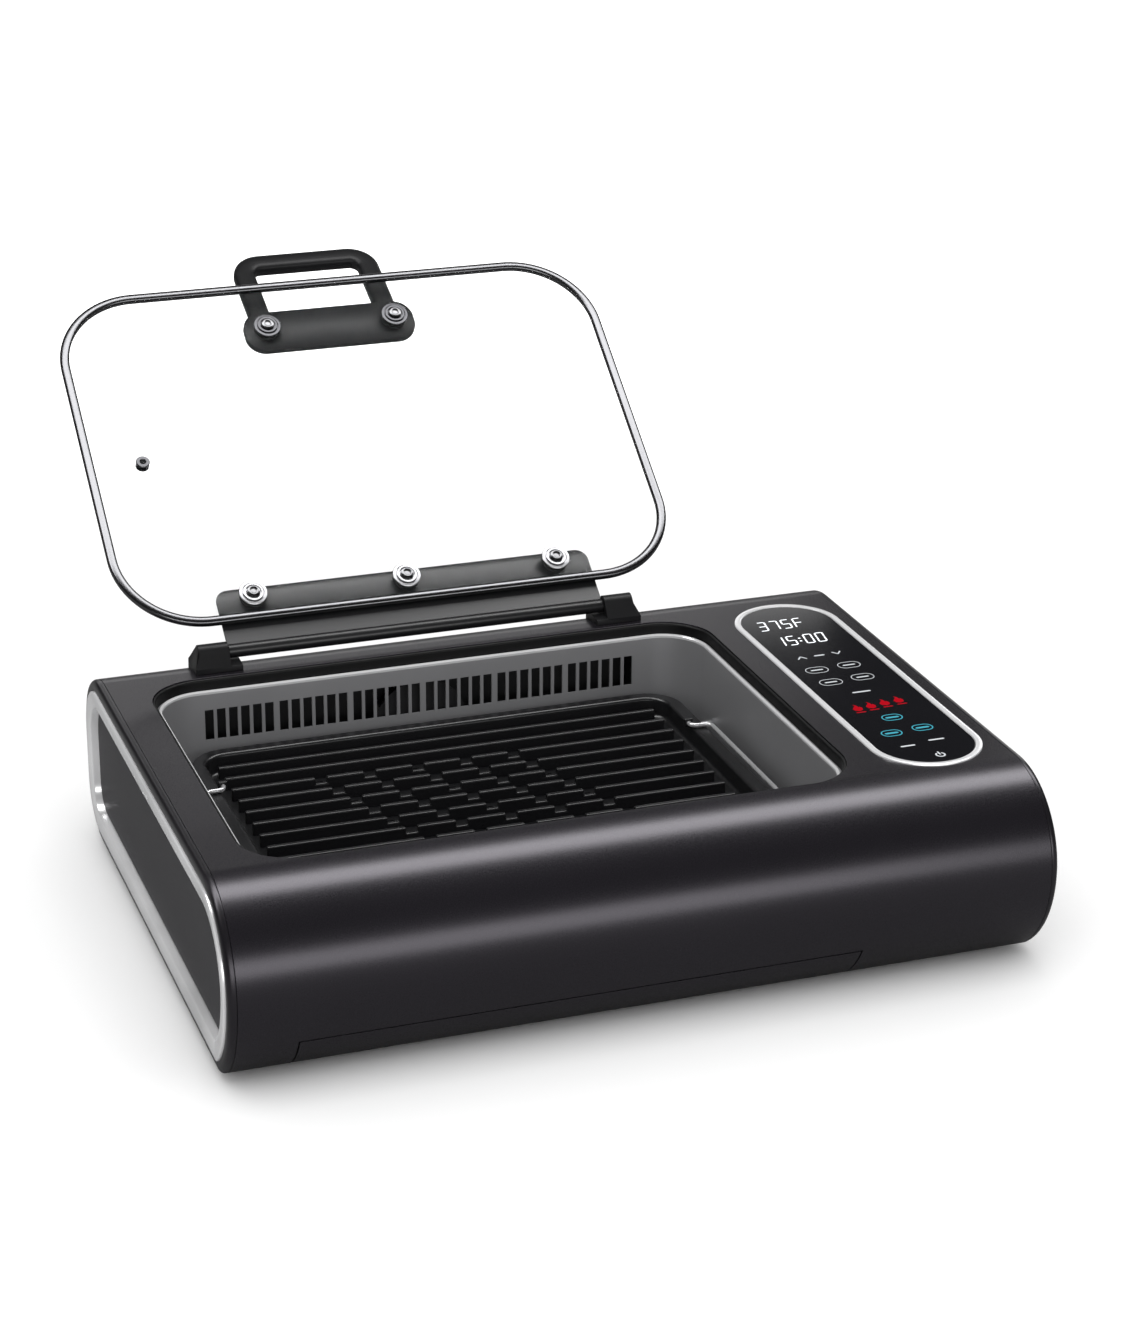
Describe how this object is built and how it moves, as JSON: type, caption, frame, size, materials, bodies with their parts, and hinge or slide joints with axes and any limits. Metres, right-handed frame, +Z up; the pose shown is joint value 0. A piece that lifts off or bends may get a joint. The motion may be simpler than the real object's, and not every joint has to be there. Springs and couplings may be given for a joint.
{
  "type": "electric indoor grill with lid",
  "caption": "Low countertop electric grill with a hinged clear glass lid, ribbed grill plate over a slotted basket, touch control strip and slide-out drip tray.",
  "frame": {"origin": "bottom centre of the whole grill with its lid open, on the plane of the feet", "axes": "+X to the right of a person in front of the grill, +Y to the back where the lid opens, +Z up"},
  "size_m": [0.54, 0.6678, 0.3335],
  "materials": {
    "case_paint": "satin powder coat, dark charcoal",
    "base_metal": "matt",
    "steel_fastener": "satin",
    "foot_rubber": "matt",
    "black_plastic": "fine texture",
    "bright_trim": "brushed",
    "side_plastic": "fine texture",
    "liner_metal": "satin",
    "heater_steel": "heat tinted",
    "inner_sheet": "plain",
    "motor_metal": "satin",
    "panel_glass": "gloss black glass",
    "board": "solder mask",
    "copper_coil": "wound coil",
    "relay_plastic": "moulded",
    "brass_pin": "plated",
    "tray_paint": "nonstick",
    "hinge_black": "satin",
    "rim_steel": "polished",
    "lid_glass": "clear",
    "seal_rubber": "matt",
    "handle_black": "soft matt",
    "basket_coat": "dark metallic nonstick",
    "plate_coat": "gloss nonstick",
    "wire_steel": "polished"
  },
  "bodies": {
    "body": {"case_shell": "case_paint", "base_plate": "base_metal", "base_screws": "steel_fastener", "feet": "foot_rubber", "bezel_left": "black_plastic", "bezel_right": "black_plastic", "trim_ring_left": "bright_trim", "trim_ring_right": "bright_trim", "side_panel_left": "side_plastic", "side_panel_right": "side_plastic", "opening_trim": "black_plastic", "cavity_liner": "liner_metal", "heating_element": "heater_steel", "element_brackets": "inner_sheet", "temperature_probe": "steel_fastener", "fan_housing": "inner_sheet", "fan_motor": "motor_metal", "motor_bracket": "inner_sheet", "control_ring": "bright_trim", "control_glass": "panel_glass", "display_board": "board", "power_board": "board", "transformer": "copper_coil", "relays": "relay_plastic", "capacitors": "black_plastic", "power_inlet": "black_plastic", "inlet_pins": "brass_pin", "tray_rails": "inner_sheet", "hinge_block_left": "hinge_black", "hinge_block_right": "hinge_black", "hinge_pins": "steel_fastener"},
    "fan": {"fan_shaft": "steel_fastener", "fan_impeller": "inner_sheet"},
    "lid": {"hinge_plate": "hinge_black", "lid_rim": "rim_steel", "lid_glass": "lid_glass", "lid_spacers": "seal_rubber", "hinge_washers": "bright_trim", "handle_washers": "bright_trim", "lid_screws": "steel_fastener", "steam_grommet": "rim_steel", "lid_handle": "handle_black"},
    "tray": {"tray_front": "case_paint", "drip_tray": "tray_paint"},
    "basket": {"basket": "basket_coat", "basket_ears": "steel_fastener"},
    "basket_handle_left": {"basket_bail_left": "wire_steel"},
    "basket_handle_right": {"basket_bail_right": "wire_steel"},
    "plate": {"grill_plate": "plate_coat", "plate_ears": "plate_coat"},
    "plate_handle_left": {"plate_bail_left": "wire_steel"},
    "plate_handle_right": {"plate_bail_right": "wire_steel"}
  },
  "joints": [
    {"name": "lid_hinge", "type": "hinge", "parent": "body", "child": "lid", "pos_m": [-0.04, 0.03353, 0.1372], "axis": [-1, 0, 0], "range_deg": [-144, 0]},
    {"name": "fan_spin", "type": "hinge", "parent": "body", "child": "fan", "pos_m": [-0.044, -0.12887, 0.071], "axis": [0, 1, 0], "continuous": true},
    {"name": "tray_slide", "type": "slide", "parent": "body", "child": "tray", "axis": [0, -1, 0], "range_m": [0, 0.25]},
    {"name": "basket_lift", "type": "slide", "parent": "body", "child": "basket", "axis": [0, 0, 1], "range_m": [0, 0.12]},
    {"name": "basket_handle_left_swing", "type": "hinge", "parent": "basket", "child": "basket_handle_left", "pos_m": [-0.2084, -0.12887, 0.0546], "axis": [0, -1, 0], "range_deg": [0, 90]},
    {"name": "basket_handle_right_swing", "type": "hinge", "parent": "basket", "child": "basket_handle_right", "pos_m": [0.1284, -0.12887, 0.0546], "axis": [0, 1, 0], "range_deg": [0, 90]},
    {"name": "plate_lift", "type": "slide", "parent": "basket", "child": "plate", "axis": [0, 0, 1], "range_m": [0, 0.1]},
    {"name": "plate_handle_left_swing", "type": "hinge", "parent": "plate", "child": "plate_handle_left", "pos_m": [-0.205, -0.12887, 0.0819], "axis": [0, 1, 0], "range_deg": [0, 170]},
    {"name": "plate_handle_right_swing", "type": "hinge", "parent": "plate", "child": "plate_handle_right", "pos_m": [0.125, -0.12887, 0.0819], "axis": [0, -1, 0], "range_deg": [0, 170]}
  ]
}
